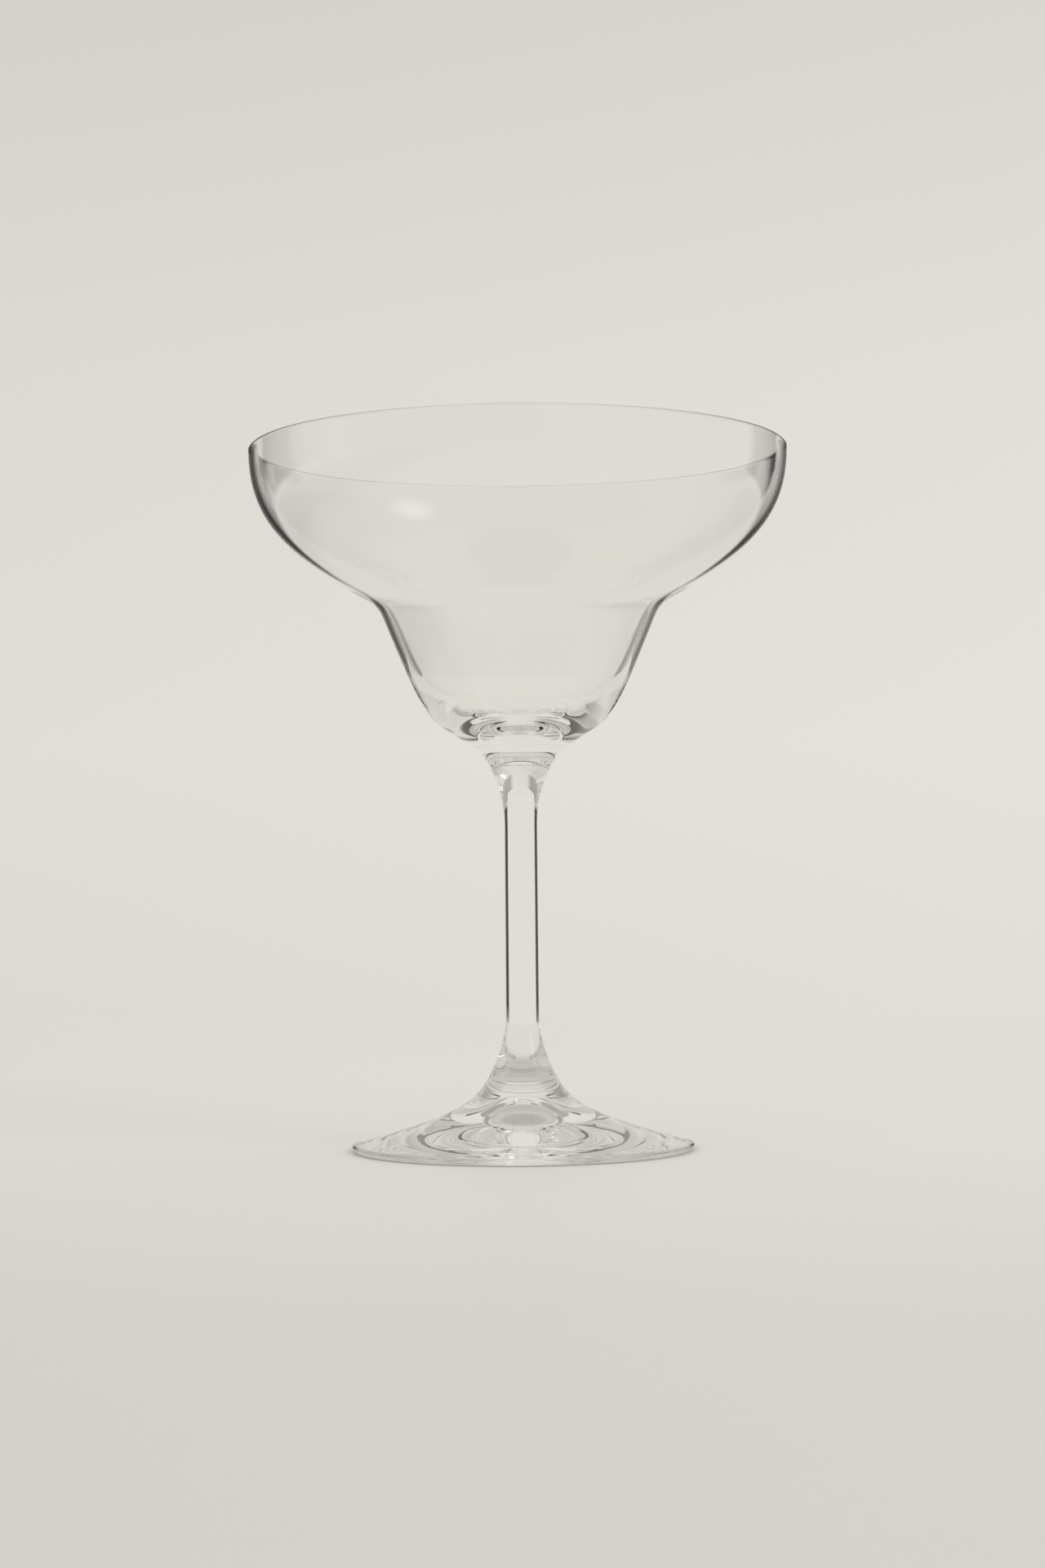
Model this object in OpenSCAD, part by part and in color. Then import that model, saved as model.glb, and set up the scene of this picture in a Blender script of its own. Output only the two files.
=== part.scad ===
// Margarita glass in three pieces of clear glass, fused end to end: a bowl with a wide upper cup and a
// narrow lower well, a slim stem that flares at both ends, and a round foot with a hollow underside.
// Lengths are in millimetres. The axis of the glass is Z, and the foot stands on the plane z = 0.

/* [Bowl] */
// Outer diameter of the rim
rim_d = 117.6; // [108:0.2:128]
// Height of the bowl, from its seam with the stem to the rim
bowl_h = 66.6; // [58:0.2:80]
// Wall at the rim
rim_wall = 1.4; // [0.8:0.1:2]
// Outer diameter of the flank, where the shoulder turns up into the side of the cup
flank_d = 105.4; // [98:0.2:112]
// Height of the flank above the seam
flank_h = 48.3; // [45:0.1:52]
// Rise of the wall at the flank, in degrees above level
flank_rise = 50.2; // [42:0.2:58]
// Outer diameter halfway down the shoulder of the cup
shoulder_d = 88.4; // [82:0.2:94]
// Height of that point above the seam
shoulder_h = 40.7; // [37:0.1:44]
// Rise of the wall there, in degrees above level
shoulder_rise = 35.5; // [28:0.5:44]
// Outer diameter of the waist, where the shoulder turns down into the lower well
waist_d = 58.8; // [52:0.1:66]
// Height of the waist above the seam
waist_h = 29; // [25:0.2:33]
// Rise of the wall at the waist, in degrees above level
waist_rise = 67.8; // [58:0.2:76]
// Rise of the inside at the waist, in degrees above level
waist_inside_rise = 66.5; // [58:0.5:76]
// Wall at the waist, the shoulder and the flank
side_wall = 1.4; // [0.9:0.1:2.2]
// Rise of the underside where it leaves the stem, in degrees above level
base_rise = 33; // [20:1:45]
// Depth of solid glass under the middle of the floor
base_wall = 5.4; // [3:0.1:9]

/* [Stem] */
// Length of the stem between its two seams
stem_l = 69.3; // [40:0.1:100]
// Diameter of the head, which is fused to the bowl
head_d = 16.5; // [12:0.1:20]
// Length of the head's taper
head_l = 16.6; // [10:0.2:18]
// Rise of the head's side at the seam, in degrees above level
head_rise = 58.5; // [50:0.5:75]
// Diameter of the shaft below the head
shaft_d = 7.3; // [6:0.1:9]
// Diameter of the shaft above the flare
shaft_low_d = 7.4; // [6:0.1:9]
// Length of the flare at the bottom of the stem
flare_l = 10.8; // [7:0.2:15]
// Diameter of the flare, which is fused to the foot
flare_d = 13.9; // [11:0.1:18]
// Rise of the flare's side at the seam, in degrees above level
flare_rise = 60; // [50:1:80]

/* [Foot] */
// Outer diameter of the foot
foot_d = 74.2; // [64:0.2:86]
// Height of the foot at its seam with the stem
foot_h = 16.5; // [14:0.1:20]
// Rise of the foot's side at the seam, in degrees above level
boss_rise = 67.5; // [55:0.5:78]
// Diameter at the instep, where the side turns out into the shallow slope
instep_d = 29.4; // [24:0.2:36]
// Height of the instep above the table
instep_h = 8.7; // [7:0.1:11]
// Rise of the instep, in degrees above level
instep_rise = 27; // [18:1:36]
// Height of the shoulder of the outer edge above the table
edge_h = 1.7; // [1.2:0.1:2.4]
// How far the rounded edge stands out from that shoulder
edge_w = 1.4; // [0.8:0.1:2]
// Rise of the slope at the edge, in degrees above level
edge_rise = 11.5; // [6:0.5:18]
// How far the flat ring that the glass rests on lies in from the outer edge
rest_inset = 1.3; // [0.8:0.1:3]
// Width of that ring
rest_w = 2.4; // [1:0.1:4]

/* [Hollow under the foot] */
// Diameter of the flared mouth of the central dome
dome_d = 26; // [22:0.2:30]
// Height of the dome's mouth above the table
dome_mouth_h = 1.3; // [1:0.1:2]
// Height of the top of the dome above the table
dome_h = 8.5; // [6:0.1:10]
// Rise of the hollow at the dome's mouth, in degrees above level
mouth_rise = 16; // [8:1:18]
// Rise of the hollow at the resting ring, in degrees above level
hollow_rise = 5; // [3:1:9]

/* [Hidden] */

// Flat steps in each curve of an outline
steps = 20;
// Sides of the turned pieces in a preview
$fn = 128;

// Colour of clear glass
glass_tint = [0.90, 0.92, 0.91, 0.35];

// Pull of each curve at its two ends, as shares of the straight distance that the curve spans
well_pull_shares = [0.39, 0.71];
shoulder_pull_shares = [0.37, 0.73];
shoulder_inside_pull_shares = [0.39, 0.69];
flank_pull_shares = [0.37, 0.31];
cup_pull_shares = [0.34, 0.39];
floor_pull_shares = [0.53, 0.44];
head_pull_shares = [0.24, 0.51];
flare_pull_shares = [0.23, 0.18];
boss_pull_shares = [0.29, 0.37];
slope_pull_shares = [0.25, 0.29];
dome_pull_shares = [0.30, 0.50];
hollow_pull_shares = [0.18, 0.30];

// Share of the edge's height at which the rounded edge stands out furthest
edge_middle_share = 0.5;
// Pull of the quarter curves that round the edge, close to that of a true ellipse
edge_pull_shares = [0.39, 0.39];

rim_r = rim_d / 2;
flank_r = flank_d / 2;
shoulder_r = shoulder_d / 2;
waist_r = waist_d / 2;
head_r = head_d / 2;
shaft_r = shaft_d / 2;
shaft_low_r = shaft_low_d / 2;
flare_r = flare_d / 2;
foot_r = foot_d / 2;
instep_r = instep_d / 2;
rest_r = foot_r - rest_inset;
dome_r = dome_d / 2;

// Heights of the two seams and of the rim above the table
foot_seam_z = foot_h;
bowl_seam_z = foot_h + stem_l;
rim_z = bowl_seam_z + bowl_h;

// Headings in the plane of an outline, [away from the axis, up]
level = [1, 0];
upright = [0, 1];
function rising(angle) = [cos(angle), sin(angle)];
function leaning_in(angle) = [-cos(angle), sin(angle)];
function left_of(heading) = [-heading[1], heading[0]];

// Curve from start to finish, without its last point. It leaves and arrives along the two headings.
function bend(start, start_heading, finish, finish_heading, pull_shares) =
    let (
        span = norm(finish - start),
        leave = start + start_heading * span * pull_shares[0],
        arrive = finish - finish_heading * span * pull_shares[1]
    )
    [
        for (i = [0 : steps - 1])
            let (t = i / steps, u = 1 - t)
                u * u * u * start + 3 * u * u * t * leave + 3 * u * t * t * arrive + t * t * t * finish
    ];

// Half circle over the top of a wall, from its outer side to its inner side
function lip(outer, wall) =
    [for (i = [0 : steps]) outer + wall / 2 * [cos(180 * i / steps) - 1, sin(180 * i / steps)]];

function reversed(points) = [for (i = [len(points) - 1 : -1 : 0]) points[i]];

// Curves through stations, each a point and its heading, with one pair of pull shares for each curve
function chain(stations, pulls) =
    [
        for (i = [0 : len(pulls) - 1])
            each bend(stations[i][0], stations[i][1], stations[i + 1][0], stations[i + 1][1], pulls[i])
    ];

// Bowl: a wide cup over a narrow well, with a thin even wall, a rounded rim and a solid base
module bowl() {
    waist = [waist_r, bowl_seam_z + waist_h];
    shoulder = [shoulder_r, bowl_seam_z + shoulder_h];
    flank = [flank_r, bowl_seam_z + flank_h];
    rim = [rim_r, rim_z - rim_wall / 2];
    outside = chain(
        [
            [[head_r, bowl_seam_z], rising(base_rise)],
            [waist, rising(waist_rise)],
            [shoulder, rising(shoulder_rise)],
            [flank, rising(flank_rise)],
            [rim, upright]
        ],
        [well_pull_shares, shoulder_pull_shares, flank_pull_shares, cup_pull_shares]
    );
    inside = chain(
        [
            [[0, bowl_seam_z + base_wall], level],
            [waist + side_wall * left_of(rising(waist_rise)), rising(waist_inside_rise)],
            [shoulder + side_wall * left_of(rising(shoulder_rise)), rising(shoulder_rise)],
            [flank + side_wall * left_of(rising(flank_rise)), rising(flank_rise)],
            [rim - [rim_wall, 0], upright]
        ],
        [floor_pull_shares, shoulder_inside_pull_shares, flank_pull_shares, cup_pull_shares]
    );
    color(glass_tint)
        rotate_extrude()
            polygon(concat([[0, bowl_seam_z]], outside, lip(rim, rim_wall), reversed(inside)));
}

// Stem: a solid rod with a tapered head for the bowl and a short flare for the foot
module stem() {
    head_bottom_z = bowl_seam_z - head_l;
    flare_top_z = foot_seam_z + flare_l;
    flare = bend(
        [flare_r, foot_seam_z], leaning_in(flare_rise),
        [shaft_low_r, flare_top_z], upright, flare_pull_shares
    );
    head = bend(
        [shaft_r, head_bottom_z], upright,
        [head_r, bowl_seam_z], rising(head_rise), head_pull_shares
    );
    color(glass_tint)
        rotate_extrude()
            polygon(concat(
                [[0, foot_seam_z]], flare, [[shaft_low_r, flare_top_z]],
                head, [[head_r, bowl_seam_z], [0, bowl_seam_z]]
            ));
}

// Foot: a sloping disc with a rounded edge, a flat ring to rest on and a hollow with a central dome
module foot() {
    edge_shoulder = [foot_r - edge_w, edge_h];
    edge_middle = [foot_r, edge_h * edge_middle_share];
    mouth = [dome_r, dome_mouth_h];
    ring_inner = [rest_r - rest_w, 0];
    underside = chain(
        [
            [[0, dome_h], level],
            [mouth, rising(-mouth_rise)],
            [ring_inner, rising(-hollow_rise)]
        ],
        [dome_pull_shares, hollow_pull_shares]
    );
    top = chain(
        [
            [[rest_r, 0], level],
            [edge_middle, upright],
            [edge_shoulder, leaning_in(edge_rise)],
            [[instep_r, instep_h], leaning_in(instep_rise)],
            [[flare_r, foot_seam_z], leaning_in(boss_rise)]
        ],
        [edge_pull_shares, edge_pull_shares, slope_pull_shares, boss_pull_shares]
    );
    color(glass_tint)
        rotate_extrude()
            polygon(concat(underside, [ring_inner], top, [[flare_r, foot_seam_z], [0, foot_seam_z]]));
}

bowl();
stem();
foot();
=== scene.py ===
import math

import bpy
from mathutils import Matrix, Vector


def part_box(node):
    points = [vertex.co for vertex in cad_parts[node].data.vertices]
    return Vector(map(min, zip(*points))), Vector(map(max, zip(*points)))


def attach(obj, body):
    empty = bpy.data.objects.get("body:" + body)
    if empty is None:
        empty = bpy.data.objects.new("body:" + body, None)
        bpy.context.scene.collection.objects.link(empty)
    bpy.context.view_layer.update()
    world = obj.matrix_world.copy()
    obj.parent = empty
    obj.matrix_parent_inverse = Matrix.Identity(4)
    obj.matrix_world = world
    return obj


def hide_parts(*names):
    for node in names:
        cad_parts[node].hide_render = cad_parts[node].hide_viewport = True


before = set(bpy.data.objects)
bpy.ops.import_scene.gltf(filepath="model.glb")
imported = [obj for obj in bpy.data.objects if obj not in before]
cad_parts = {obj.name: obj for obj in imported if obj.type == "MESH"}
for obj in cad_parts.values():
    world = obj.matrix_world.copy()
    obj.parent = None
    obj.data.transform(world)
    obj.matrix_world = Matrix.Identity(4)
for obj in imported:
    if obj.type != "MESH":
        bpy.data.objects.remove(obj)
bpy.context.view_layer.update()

MM = 0.001

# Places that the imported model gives: the seams of the three pieces, the rim and the widest radii
foot_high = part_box("foot")[1]
bowl_low, bowl_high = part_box("bowl")
FOOT_SEAM_Z = foot_high.z
BOWL_SEAM_Z = bowl_low.z
RIM_Z = bowl_high.z
RIM_R = bowl_high.x
FOOT_R = foot_high.x

# Bowl, outside: radii and heights above its seam, and rises in degrees above level
FLANK_R = 52.7 * MM
FLANK_H = 48.3 * MM
FLANK_RISE = 50.2
SHOULDER_R = 44.2 * MM
SHOULDER_H = 40.7 * MM
SHOULDER_RISE = 35.5
WAIST_R = 29.4 * MM
WAIST_H = 29 * MM
WAIST_RISE = 67.8
BASE_RISE = 33

# Bowl, inside: the wall at the rim and at the places of the outside, the inside's own rise at the waist, and
# the depth of the solid base
RIM_WALL = 1.4 * MM
SIDE_WALL = 1.4 * MM
WAIST_INSIDE_RISE = 66.5
BASE_WALL = 5.4 * MM

# Stem: head under the bowl, shaft, and flare over the foot
HEAD_R = 8.25 * MM
HEAD_L = 16.6 * MM
HEAD_RISE = 58.5
SHAFT_R = 3.65 * MM
SHAFT_LOW_R = 3.7 * MM
FLARE_L = 10.8 * MM
FLARE_R = 6.95 * MM
FLARE_RISE = 60

# Foot: side, instep, rounded edge, resting ring and the hollow with its central dome
BOSS_RISE = 67.5
INSTEP_R = 14.7 * MM
INSTEP_H = 8.7 * MM
INSTEP_RISE = 27
EDGE_H = 1.7 * MM
EDGE_W = 1.4 * MM
EDGE_RISE = 11.5
REST_INSET = 1.3 * MM
REST_W = 2.4 * MM
DOME_R = 13 * MM
DOME_MOUTH_H = 1.3 * MM
DOME_H = 8.5 * MM
MOUTH_RISE = 16
HOLLOW_RISE = 5

# Pull of each curve at its two ends, as shares of the straight distance that the curve spans
WELL_SHARES = (0.39, 0.71)
SHOULDER_SHARES = (0.37, 0.73)
FLANK_SHARES = (0.37, 0.31)
CUP_SHARES = (0.34, 0.39)
FLOOR_SHARES = (0.53, 0.44)
SHOULDER_INSIDE_SHARES = (0.39, 0.69)
HEAD_SHARES = (0.24, 0.51)
FLARE_SHARES = (0.23, 0.18)
BOSS_SHARES = (0.29, 0.37)
SLOPE_SHARES = (0.25, 0.29)
DOME_SHARES = (0.30, 0.50)
HOLLOW_SHARES = (0.18, 0.30)
EDGE_SHARES = (0.39, 0.39)
EDGE_MIDDLE_SHARE = 0.5

# Fineness of the turned meshes
STEPS = 36
LIP_STEPS = 16
SEGMENTS = 256
SHARP_ANGLE = math.radians(35)

# Shortest distances that count, in metres: of a point from the axis, and of a band from the height of a seam
AXIS_LIMIT = 1e-9
SEAM_LIMIT = 1e-6

# Clear glass
GLASS_COLOUR = (0.98, 0.98, 0.974, 1)
GLASS_IOR = 1.52
# Faint ripples in it: waves per metre, their height, and roughness against the ripples' own level
RIPPLE_SCALE = 30
RIPPLE_H = 0.02 * MM
POLISH = ((0.4, 0), (0.7, 0.012))

# Camera: its place, the turn from straight down to level, the tilt up and the roll in degrees, and its lens
CAMERA_PLACE = Vector((0.46, -588.5, 56.6)) * MM
CAMERA_LEVEL_TURN = 90
CAMERA_TILT = 2.2
CAMERA_ROLL = -0.5
CAMERA_LENS = 62
CAMERA_SENSOR = 36

# Floor: a wide disc that melts into the backdrop
FLOOR_R = 1.2
FLOOR_SIDES = 96
FLOOR_DROP = 0.1 * MM
FLOOR_COLOUR = (0.82, 0.80, 0.745, 1)
FLOOR_ROUGHNESS = 0.6
# Painted shade: level of its colour against the place from front to back in metres, darker towards the
# camera
FLOOR_SHADE_LEVELS = ((-0.36, 0.82), (-0.22, 0.86), (-0.13, 0.92), (0, 1), (0.3, 1))
# Share of the floor that shows against the distance from the axis of the glass in metres
FLOOR_FADE = ((0.30, 1), (0.7, 0))
# Level that the glass shows against the distance from its axis in metres: a painted shadow under the foot,
# darkest near the axis with a paler ring at 12 to 16 mm, and the plain level beyond the foot
FLOOR_SHADOW_IN_GLASS = (
    (0, 0.4), (0.009, 0.43), (0.012, 0.56), (0.016, 0.56),
    (0.019, 0.48), (0.03, 0.5), (0.045, 0.74), (0.7, 0.74),
)
# Painted shade: share of that level against the place from left to right in metres, darker to the left and a
# little darker to the right
FLOOR_SIDE_SHADE_IN_GLASS = ((-0.5, 0.5), (-0.25, 0.6), (-0.17, 1), (0.15, 1), (0.3, 0.88), (0.5, 0.88))

# Backdrop: its colour, and its level against the height of view and against the bearing in degrees
BACKDROP_COLOUR = (1, 0.97, 0.905, 1)
BACKDROP_LEVELS = ((-16, 0.70), (-6, 0.74), (3, 0.79), (11, 0.76), (19, 0.69))
BACKDROP_SIDES = ((-14, 0.94), (14, 1))
# Level of the backdrop that the glass shows
GLASS_LEVEL = 0.77

# Surroundings that only the glass shows: the room, its dark sides and its upper part. Each has its level
# against the bearing in degrees, from straight behind the glass and rightwards, and then its share against
# the height of view in degrees.
ROOM = (
    ((-180, 0.78), (-120, 0.82), (-100, 1), (60, 1), (90, 0.88), (180, 0.78)),
    ((-90, 1), (30, 1), (60, 0.3), (90, 0)),
)
DARK_SIDES = (
    (
        (-94, 1), (-86, 0.8), (-72, 0.5), (-67, 0.03), (-44, 0.03), (-41, 0.8), (-33, 0.7), (-30, 0.35),
        (-26, 0.15), (-22, 0.06), (-13, 0.06), (-11, 1), (11, 1), (12.5, 0.07), (19, 0.07), (26, 0.4),
        (31, 0.65), (36, 0.95), (38, 0.03), (60, 0.03), (66, 0.9), (90, 0.9), (120, 1),
    ),
    ((-10.5, 0), (-8.5, 1), (11, 1), (15, 0)),
)
UPPER_PART = (
    (
        (-120, 0.9), (-60, 0.75), (-50, 0.5), (-22, 0.45), (-13, 1), (13, 1), (22, 0.5), (90, 0.5),
        (120, 0.9),
    ),
    ((12, 0), (18, 1), (45, 1), (60, 0)),
)

# Pale card close behind the stem, which only the glass shows. It narrows towards its top.
CARD_LEFT = -44 * MM
CARD_RIGHT = 39 * MM
CARD_LOW_H = 20 * MM
CARD_SHOULDER_H = 80 * MM
CARD_TOP_LEFT = -30 * MM
CARD_TOP_RIGHT = 26 * MM
CARD_TOP_H = 100 * MM
CARD_BEHIND = 50 * MM

# Soft bright spot on the right of the camera, which only the glass shows: its place and reach in degrees,
# and its level
SPOT_BEARING = 127
SPOT_HEIGHT = 27
SPOT_REACH = 15
SPOT_LEVEL = 2

# Light that falls on all matt things, and the soft lamp to the right of the camera
SOFT_LIGHT = 0.88
LAMP_PLACE = Vector((0.64, -0.48, 0.5))
LAMP_AIM = Vector((0, 0, 0.09))
LAMP_W = 0.36
LAMP_H = 0.55
LAMP_POWER = 1.5

# How often light may pass or bounce in the glass, and pass the clear faces of the fused seams
GLASS_BOUNCES = 32
SEAM_PASSES = 64

# Headings in the plane of an outline, away from the axis and up
LEVEL = Vector((1, 0))
UPRIGHT = Vector((0, 1))


def rising(degrees):
    return Vector((math.cos(math.radians(degrees)), math.sin(math.radians(degrees))))


def leaning_in(degrees):
    return Vector((-math.cos(math.radians(degrees)), math.sin(math.radians(degrees))))


def left_of(heading):
    return Vector((-heading.y, heading.x))


def bend(start, start_heading, finish, finish_heading, shares):
    """Points of a curve that leaves and arrives along the two headings, without its last point."""
    span = (finish - start).length
    leave = start + start_heading * span * shares[0]
    arrive = finish - finish_heading * span * shares[1]
    points = []
    for i in range(STEPS):
        t = i / STEPS
        u = 1 - t
        points.append(u ** 3 * start + 3 * u * u * t * leave + 3 * u * t * t * arrive + t ** 3 * finish)
    return points


def chain(stations, pulls):
    """Points through stations, each a place and a heading, without the last one."""
    points = []
    for start, finish, shares in zip(stations, stations[1:], pulls):
        points += bend(*start, *finish, shares)
    return points


def lip(outer, wall):
    """Half circle over the top of a wall, from its outer side to its inner side."""
    angles = [math.pi * i / LIP_STEPS for i in range(LIP_STEPS + 1)]
    return [outer + wall / 2 * Vector((math.cos(a) - 1, math.sin(a))) for a in angles]


def bowl_outline():
    seam_edge = Vector((HEAD_R, BOWL_SEAM_Z))
    waist = Vector((WAIST_R, BOWL_SEAM_Z + WAIST_H))
    shoulder = Vector((SHOULDER_R, BOWL_SEAM_Z + SHOULDER_H))
    flank = Vector((FLANK_R, BOWL_SEAM_Z + FLANK_H))
    rim = Vector((RIM_R, RIM_Z - RIM_WALL / 2))
    outside = chain(
        [
            (seam_edge, rising(BASE_RISE)),
            (waist, rising(WAIST_RISE)),
            (shoulder, rising(SHOULDER_RISE)),
            (flank, rising(FLANK_RISE)),
            (rim, UPRIGHT),
        ],
        [WELL_SHARES, SHOULDER_SHARES, FLANK_SHARES, CUP_SHARES],
    )
    floor_middle = Vector((0, BOWL_SEAM_Z + BASE_WALL))
    inside = chain(
        [
            (floor_middle, LEVEL),
            (waist + SIDE_WALL * left_of(rising(WAIST_RISE)), rising(WAIST_INSIDE_RISE)),
            (shoulder + SIDE_WALL * left_of(rising(SHOULDER_RISE)), rising(SHOULDER_RISE)),
            (flank + SIDE_WALL * left_of(rising(FLANK_RISE)), rising(FLANK_RISE)),
            (rim - Vector((RIM_WALL, 0)), UPRIGHT),
        ],
        [FLOOR_SHARES, SHOULDER_INSIDE_SHARES, FLANK_SHARES, CUP_SHARES],
    )
    return [Vector((0, BOWL_SEAM_Z))] + outside + lip(rim, RIM_WALL) + inside[::-1]


def stem_outline():
    flare_top = Vector((SHAFT_LOW_R, FOOT_SEAM_Z + FLARE_L))
    head_bottom = Vector((SHAFT_R, BOWL_SEAM_Z - HEAD_L))
    flare_edge = Vector((FLARE_R, FOOT_SEAM_Z))
    head_edge = Vector((HEAD_R, BOWL_SEAM_Z))
    flare = bend(flare_edge, leaning_in(FLARE_RISE), flare_top, UPRIGHT, FLARE_SHARES)
    shaft = [flare_top.lerp(head_bottom, i / STEPS) for i in range(STEPS)]
    head = bend(head_bottom, UPRIGHT, head_edge, rising(HEAD_RISE), HEAD_SHARES)
    return [Vector((0, FOOT_SEAM_Z))] + flare + shaft + head + [head_edge, Vector((0, BOWL_SEAM_Z))]


def foot_outline():
    rest_r = FOOT_R - REST_INSET
    mouth = Vector((DOME_R, DOME_MOUTH_H))
    ring_inner = Vector((rest_r - REST_W, 0))
    ring_outer = Vector((rest_r, 0))
    edge_middle = Vector((FOOT_R, EDGE_H * EDGE_MIDDLE_SHARE))
    edge_shoulder = Vector((FOOT_R - EDGE_W, EDGE_H))
    instep = Vector((INSTEP_R, INSTEP_H))
    seam_edge = Vector((FLARE_R, FOOT_SEAM_Z))
    underside = chain(
        [
            (Vector((0, DOME_H)), LEVEL),
            (mouth, rising(-MOUTH_RISE)),
            (ring_inner, rising(-HOLLOW_RISE)),
        ],
        [DOME_SHARES, HOLLOW_SHARES],
    )
    top = chain(
        [
            (ring_outer, LEVEL),
            (edge_middle, UPRIGHT),
            (edge_shoulder, leaning_in(EDGE_RISE)),
            (instep, leaning_in(INSTEP_RISE)),
            (seam_edge, leaning_in(BOSS_RISE)),
        ],
        [EDGE_SHARES, EDGE_SHARES, SLOPE_SHARES, BOSS_SHARES],
    )
    return underside + [ring_inner] + top + [seam_edge, Vector((0, FOOT_SEAM_Z))]


def turned_piece(name, outline, seam_heights):
    """Closed mesh of an outline turned about Z. Level bands at a seam take the second material."""
    vertices = []
    rings = []
    for point in outline:
        first = len(vertices)
        if point.x < AXIS_LIMIT:
            vertices.append((0, 0, point.y))
            rings.append([first] * SEGMENTS)
            continue
        for i in range(SEGMENTS):
            angle = 2 * math.pi * i / SEGMENTS
            vertices.append((point.x * math.cos(angle), point.x * math.sin(angle), point.y))
        rings.append([first + i for i in range(SEGMENTS)])
    faces = []
    material_indices = []
    for below, above, low_ring, high_ring in zip(outline, outline[1:], rings, rings[1:]):
        level = below.y == above.y
        at_seam = level and any(abs(below.y - z) < SEAM_LIMIT for z in seam_heights)
        for i in range(SEGMENTS):
            j = (i + 1) % SEGMENTS
            corners = [low_ring[i], low_ring[j], high_ring[j], high_ring[i]]
            faces.append(list(dict.fromkeys(corners)))
            material_indices.append(1 if at_seam else 0)
    mesh = bpy.data.meshes.new(name)
    mesh.from_pydata(vertices, [], faces)
    mesh.polygons.foreach_set("material_index", material_indices)
    mesh.polygons.foreach_set("use_smooth", [True] * len(faces))
    mesh.set_sharp_from_angle(angle=SHARP_ANGLE)
    mesh.update()
    piece = bpy.data.objects.new(name, mesh)
    bpy.context.scene.collection.objects.link(piece)
    return piece


def maths(tree, operation, *terms):
    """Result of a maths node whose terms are numbers or other nodes' results."""
    node = tree.nodes.new("ShaderNodeMath")
    node.operation = operation
    for socket, term in zip(node.inputs, terms):
        if isinstance(term, (int, float)):
            socket.default_value = term
        else:
            tree.links.new(term, socket)
    return node.outputs[0]


def read_off(tree, place, levels):
    """Level at a place along a list of places and levels, with straight runs between them."""
    low, high = levels[0][0], levels[-1][0]
    along = tree.nodes.new("ShaderNodeMapRange")
    along.inputs["From Min"].default_value = low
    along.inputs["From Max"].default_value = high
    tree.links.new(place, along.inputs["Value"])
    ramp = tree.nodes.new("ShaderNodeValToRGB")
    tree.links.new(along.outputs["Result"], ramp.inputs["Fac"])
    elements = ramp.color_ramp.elements
    while len(elements) < len(levels):
        elements.new(0.5)
    for element, (at, level) in zip(elements, levels):
        element.position = (at - low) / (high - low)
        element.color = (level, level, level, 1)
    return ramp.outputs["Color"]


def mixed(tree, share, first, second):
    """A colour that goes from the first to the second as the share goes from 0 to 1."""
    node = tree.nodes.new("ShaderNodeMix")
    node.data_type = "RGBA"
    for name, term in (("Factor_Float", share), ("A_Color", first), ("B_Color", second)):
        socket = next(s for s in node.inputs if s.identifier == name)
        if isinstance(term, bpy.types.NodeSocket):
            tree.links.new(term, socket)
        else:
            socket.default_value = term
    return next(s for s in node.outputs if s.identifier == "Result_Color")


def blended(tree, share, first, second):
    """A shader that goes from the first to the second as the share goes from 0 to 1."""
    node = tree.nodes.new("ShaderNodeMixShader")
    tree.links.new(share, node.inputs["Fac"])
    tree.links.new(first.outputs[0], node.inputs[1])
    tree.links.new(second.outputs[0], node.inputs[2])
    return node


def bearing(tree, parts):
    """Degrees from straight behind the glass, rightwards, of a direction or place."""
    return maths(tree, "DEGREES", maths(tree, "ARCTAN2", parts.outputs["X"], parts.outputs["Y"]))


def seen_in_glass(tree):
    """1 for what is seen through or mirrored in the glass, and 0 otherwise."""
    path = tree.nodes.new("ShaderNodeLightPath")
    return maths(tree, "MAXIMUM", path.outputs["Is Glossy Ray"], path.outputs["Is Transmission Ray"])


def spot_share(tree, parts):
    """1 in the middle of the soft bright spot, falling smoothly to 0 at its reach."""
    out = math.cos(math.radians(SPOT_HEIGHT))
    middle = (
        out * math.sin(math.radians(SPOT_BEARING)),
        out * math.cos(math.radians(SPOT_BEARING)),
        math.sin(math.radians(SPOT_HEIGHT)),
    )
    products = [maths(tree, "MULTIPLY", part, share) for part, share in zip(parts.outputs, middle)]
    cosine = maths(tree, "ADD", maths(tree, "ADD", products[0], products[1]), products[2])
    fall = tree.nodes.new("ShaderNodeMapRange")
    fall.interpolation_type = "SMOOTHSTEP"
    fall.inputs["From Min"].default_value = SPOT_REACH
    fall.inputs["From Max"].default_value = 0
    tree.links.new(maths(tree, "DEGREES", maths(tree, "ARCCOSINE", cosine)), fall.inputs["Value"])
    return fall.outputs["Result"]


def clear_glass():
    """Clear glass with faint ripples and patches that are a little less polished."""
    material = bpy.data.materials.new("clear_glass")
    material.use_nodes = True
    tree = material.node_tree
    shader = tree.nodes["Principled BSDF"]
    shader.inputs["Base Color"].default_value = GLASS_COLOUR
    shader.inputs["Transmission Weight"].default_value = 1
    shader.inputs["IOR"].default_value = GLASS_IOR
    ripples = tree.nodes.new("ShaderNodeTexNoise")
    ripples.inputs["Scale"].default_value = RIPPLE_SCALE
    tree.links.new(tree.nodes.new("ShaderNodeTexCoord").outputs["Object"], ripples.inputs["Vector"])
    tree.links.new(read_off(tree, ripples.outputs["Fac"], POLISH), shader.inputs["Roughness"])
    bump = tree.nodes.new("ShaderNodeBump")
    bump.inputs["Distance"].default_value = RIPPLE_H
    tree.links.new(ripples.outputs["Fac"], bump.inputs["Height"])
    tree.links.new(bump.outputs["Normal"], shader.inputs["Normal"])
    return material


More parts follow.
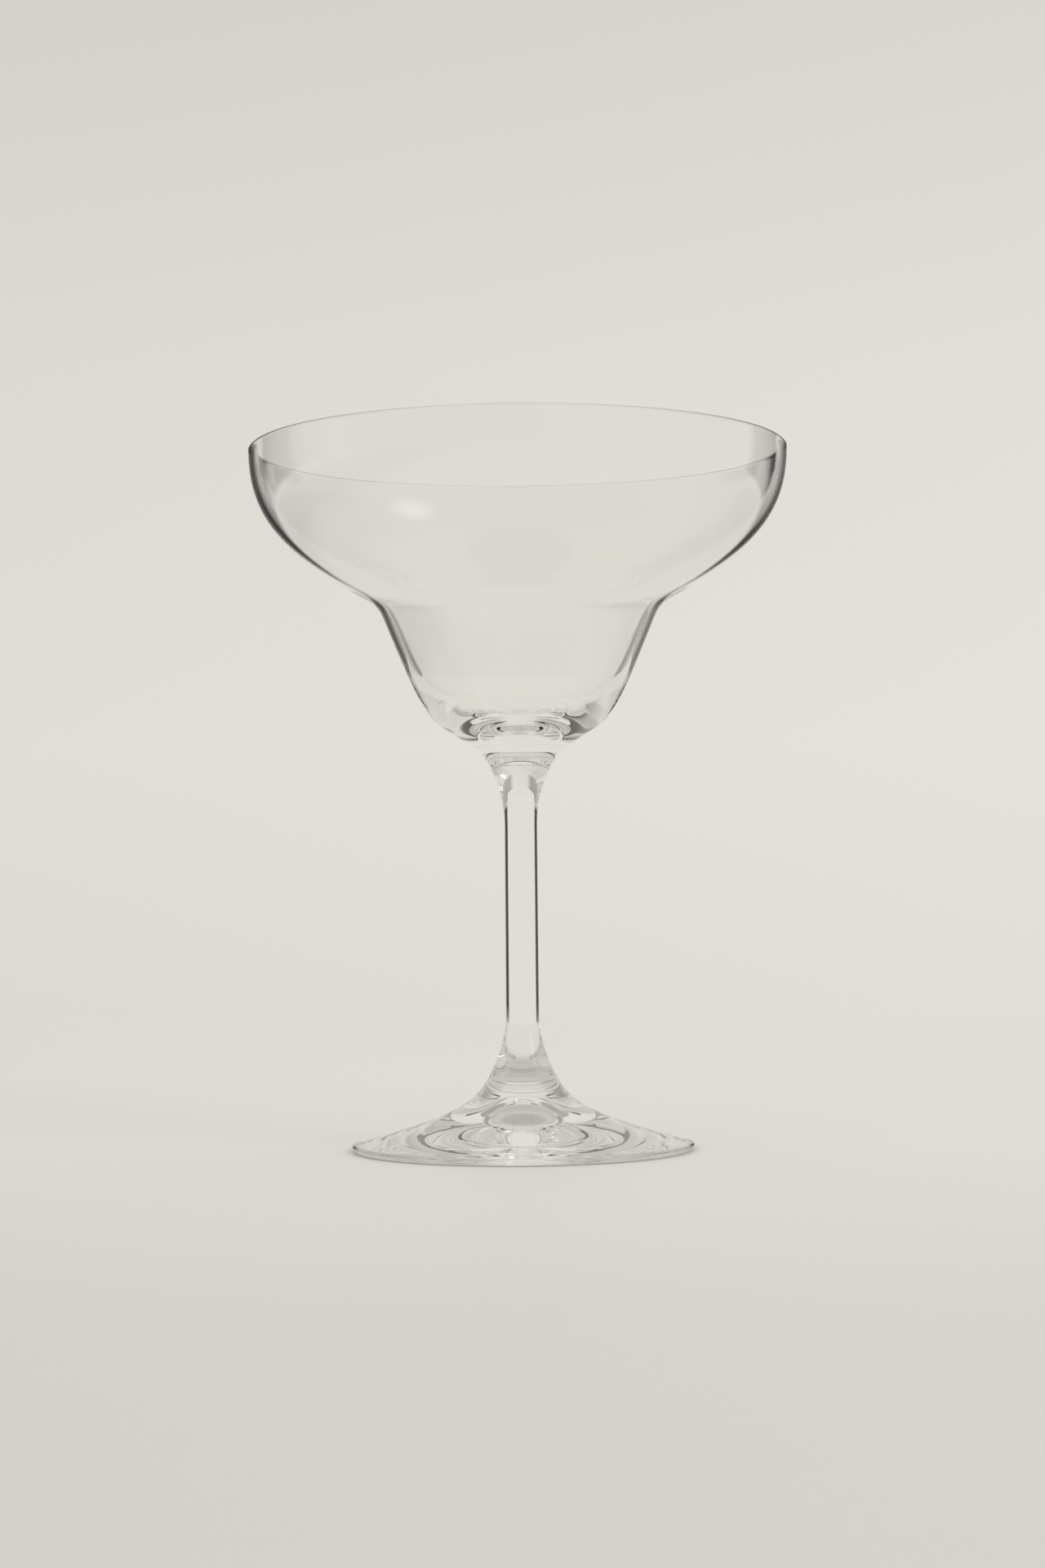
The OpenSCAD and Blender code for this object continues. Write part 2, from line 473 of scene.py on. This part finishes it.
def fused_seam():
    """Face between two fused pieces, where the glass runs on without a surface."""
    material = bpy.data.materials.new("fused_seam")
    material.use_nodes = True
    shader = material.node_tree.nodes["Principled BSDF"]
    shader.inputs["Alpha"].default_value = 0
    return material


def photo_camera():
    data = bpy.data.cameras.new("photo_camera")
    data.lens = CAMERA_LENS
    data.sensor_width = CAMERA_SENSOR
    camera = bpy.data.objects.new("photo_camera", data)
    bpy.context.scene.collection.objects.link(camera)
    camera.matrix_world = (
        Matrix.Translation(CAMERA_PLACE)
        @ Matrix.Rotation(math.radians(CAMERA_LEVEL_TURN + CAMERA_TILT), 4, "X")
        @ Matrix.Rotation(math.radians(CAMERA_ROLL), 4, "Z")
    )
    bpy.context.scene.camera = camera


def floor_material():
    material = bpy.data.materials.new("pale_floor")
    material.use_nodes = True
    tree = material.node_tree
    shader = tree.nodes["Principled BSDF"]
    shader.inputs["Roughness"].default_value = FLOOR_ROUGHNESS
    place = tree.nodes.new("ShaderNodeTexCoord").outputs["Object"]
    parts = tree.nodes.new("ShaderNodeSeparateXYZ")
    tree.links.new(place, parts.inputs["Vector"])
    distance = maths(tree, "SQRT", maths(
        tree, "ADD",
        maths(tree, "POWER", parts.outputs["X"], 2),
        maths(tree, "POWER", parts.outputs["Y"], 2),
    ))
    # Painted shade: the floor's colour darkens towards the camera
    colour = mixed(tree, read_off(tree, parts.outputs["Y"], FLOOR_SHADE_LEVELS), (0, 0, 0, 1), FLOOR_COLOUR)
    tree.links.new(colour, shader.inputs["Base Color"])
    in_glass = tree.nodes.new("ShaderNodeEmission")
    in_glass.inputs["Color"].default_value = BACKDROP_COLOUR
    # What the glass sees of the floor glows, with a painted shadow under the foot and painted shade towards
    # the sides
    strength = maths(
        tree, "MULTIPLY",
        read_off(tree, distance, FLOOR_SHADOW_IN_GLASS),
        read_off(tree, parts.outputs["X"], FLOOR_SIDE_SHADE_IN_GLASS),
    )
    tree.links.new(strength, in_glass.inputs["Strength"])
    clear = tree.nodes.new("ShaderNodeBsdfTransparent")
    seen = blended(tree, seen_in_glass(tree), shader, in_glass)
    fading = blended(tree, read_off(tree, distance, FLOOR_FADE), clear, seen)
    tree.links.new(fading.outputs["Shader"], tree.nodes["Material Output"].inputs["Surface"])
    return material


def pale_floor():
    mesh = bpy.data.meshes.new("floor")
    turns = [2 * math.pi * i / FLOOR_SIDES for i in range(FLOOR_SIDES)]
    corners = [(FLOOR_R * math.cos(turn), FLOOR_R * math.sin(turn), 0) for turn in turns]
    mesh.from_pydata(corners, [], [range(FLOOR_SIDES)])
    mesh.materials.append(floor_material())
    floor = bpy.data.objects.new("floor", mesh)
    floor.location.z = -FLOOR_DROP
    bpy.context.scene.collection.objects.link(floor)


def stem_card():
    material = bpy.data.materials.new("stem_card")
    material.use_nodes = True
    tree = material.node_tree
    glow = tree.nodes.new("ShaderNodeEmission")
    glow.inputs["Color"].default_value = BACKDROP_COLOUR
    glow.inputs["Strength"].default_value = GLASS_LEVEL
    tree.links.new(glow.outputs["Emission"], tree.nodes["Material Output"].inputs["Surface"])
    corners = [
        (CARD_LEFT, CARD_LOW_H), (CARD_RIGHT, CARD_LOW_H), (CARD_RIGHT, CARD_SHOULDER_H),
        (CARD_TOP_RIGHT, CARD_TOP_H), (CARD_TOP_LEFT, CARD_TOP_H), (CARD_LEFT, CARD_SHOULDER_H),
    ]
    mesh = bpy.data.meshes.new("stem_card")
    mesh.from_pydata([(x, CARD_BEHIND, z) for x, z in corners], [], [range(len(corners))])
    mesh.materials.append(material)
    card = bpy.data.objects.new("stem_card", mesh)
    card.visible_camera = False
    card.visible_diffuse = False
    card.visible_shadow = False
    bpy.context.scene.collection.objects.link(card)


def studio_world():
    world = bpy.data.worlds.new("studio")
    bpy.context.scene.world = world
    world.use_nodes = True
    tree = world.node_tree
    parts = tree.nodes.new("ShaderNodeSeparateXYZ")
    tree.links.new(tree.nodes.new("ShaderNodeTexCoord").outputs["Generated"], parts.inputs["Vector"])
    height = maths(tree, "DEGREES", maths(tree, "ARCSINE", parts.outputs["Z"]))
    around = bearing(tree, parts)
    even = mixed(tree, read_off(tree, around, BACKDROP_SIDES), (0, 0, 0, 1), BACKDROP_COLOUR)
    backdrop = mixed(tree, read_off(tree, height, BACKDROP_LEVELS), (0, 0, 0, 1), even)
    in_glass = mixed(tree, GLASS_LEVEL, (0, 0, 0, 1), even)
    for bearings, heights in (ROOM, DARK_SIDES, UPPER_PART):
        level = mixed(tree, read_off(tree, height, heights), (1, 1, 1, 1), read_off(tree, around, bearings))
        in_glass = mixed(tree, level, (0, 0, 0, 1), in_glass)
    in_glass = mixed(tree, spot_share(tree, parts), in_glass, (SPOT_LEVEL, SPOT_LEVEL, SPOT_LEVEL, 1))
    path = tree.nodes.new("ShaderNodeLightPath")
    soft = (SOFT_LIGHT, SOFT_LIGHT, SOFT_LIGHT, 1)
    outside_glass = mixed(tree, path.outputs["Is Camera Ray"], soft, backdrop)
    colour = mixed(tree, seen_in_glass(tree), outside_glass, in_glass)
    tree.links.new(colour, tree.nodes["Background"].inputs["Color"])


def soft_lamp():
    data = bpy.data.lights.new("soft_lamp", "AREA")
    data.shape = "RECTANGLE"
    data.size = LAMP_W
    data.size_y = LAMP_H
    data.energy = LAMP_POWER
    lamp = bpy.data.objects.new("soft_lamp", data)
    lamp.location = LAMP_PLACE
    lamp.rotation_euler = (LAMP_AIM - LAMP_PLACE).to_track_quat("-Z", "Y").to_euler()
    lamp.visible_glossy = False
    lamp.visible_transmission = False
    bpy.context.scene.collection.objects.link(lamp)


glass = clear_glass()
seam = fused_seam()
outlines = {"bowl": bowl_outline(), "stem": stem_outline(), "foot": foot_outline()}
for node, outline in outlines.items():
    piece = turned_piece(node + "_glass", outline, (FOOT_SEAM_Z, BOWL_SEAM_Z))
    piece.data.materials.append(glass)
    piece.data.materials.append(seam)
    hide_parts(node)
    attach(piece, "root")

photo_camera()
pale_floor()
stem_card()
studio_world()
soft_lamp()

scene = bpy.context.scene
scene.view_settings.view_transform = "Standard"
scene.cycles.max_bounces = GLASS_BOUNCES
scene.cycles.transmission_bounces = GLASS_BOUNCES
scene.cycles.glossy_bounces = GLASS_BOUNCES
scene.cycles.transparent_max_bounces = SEAM_PASSES
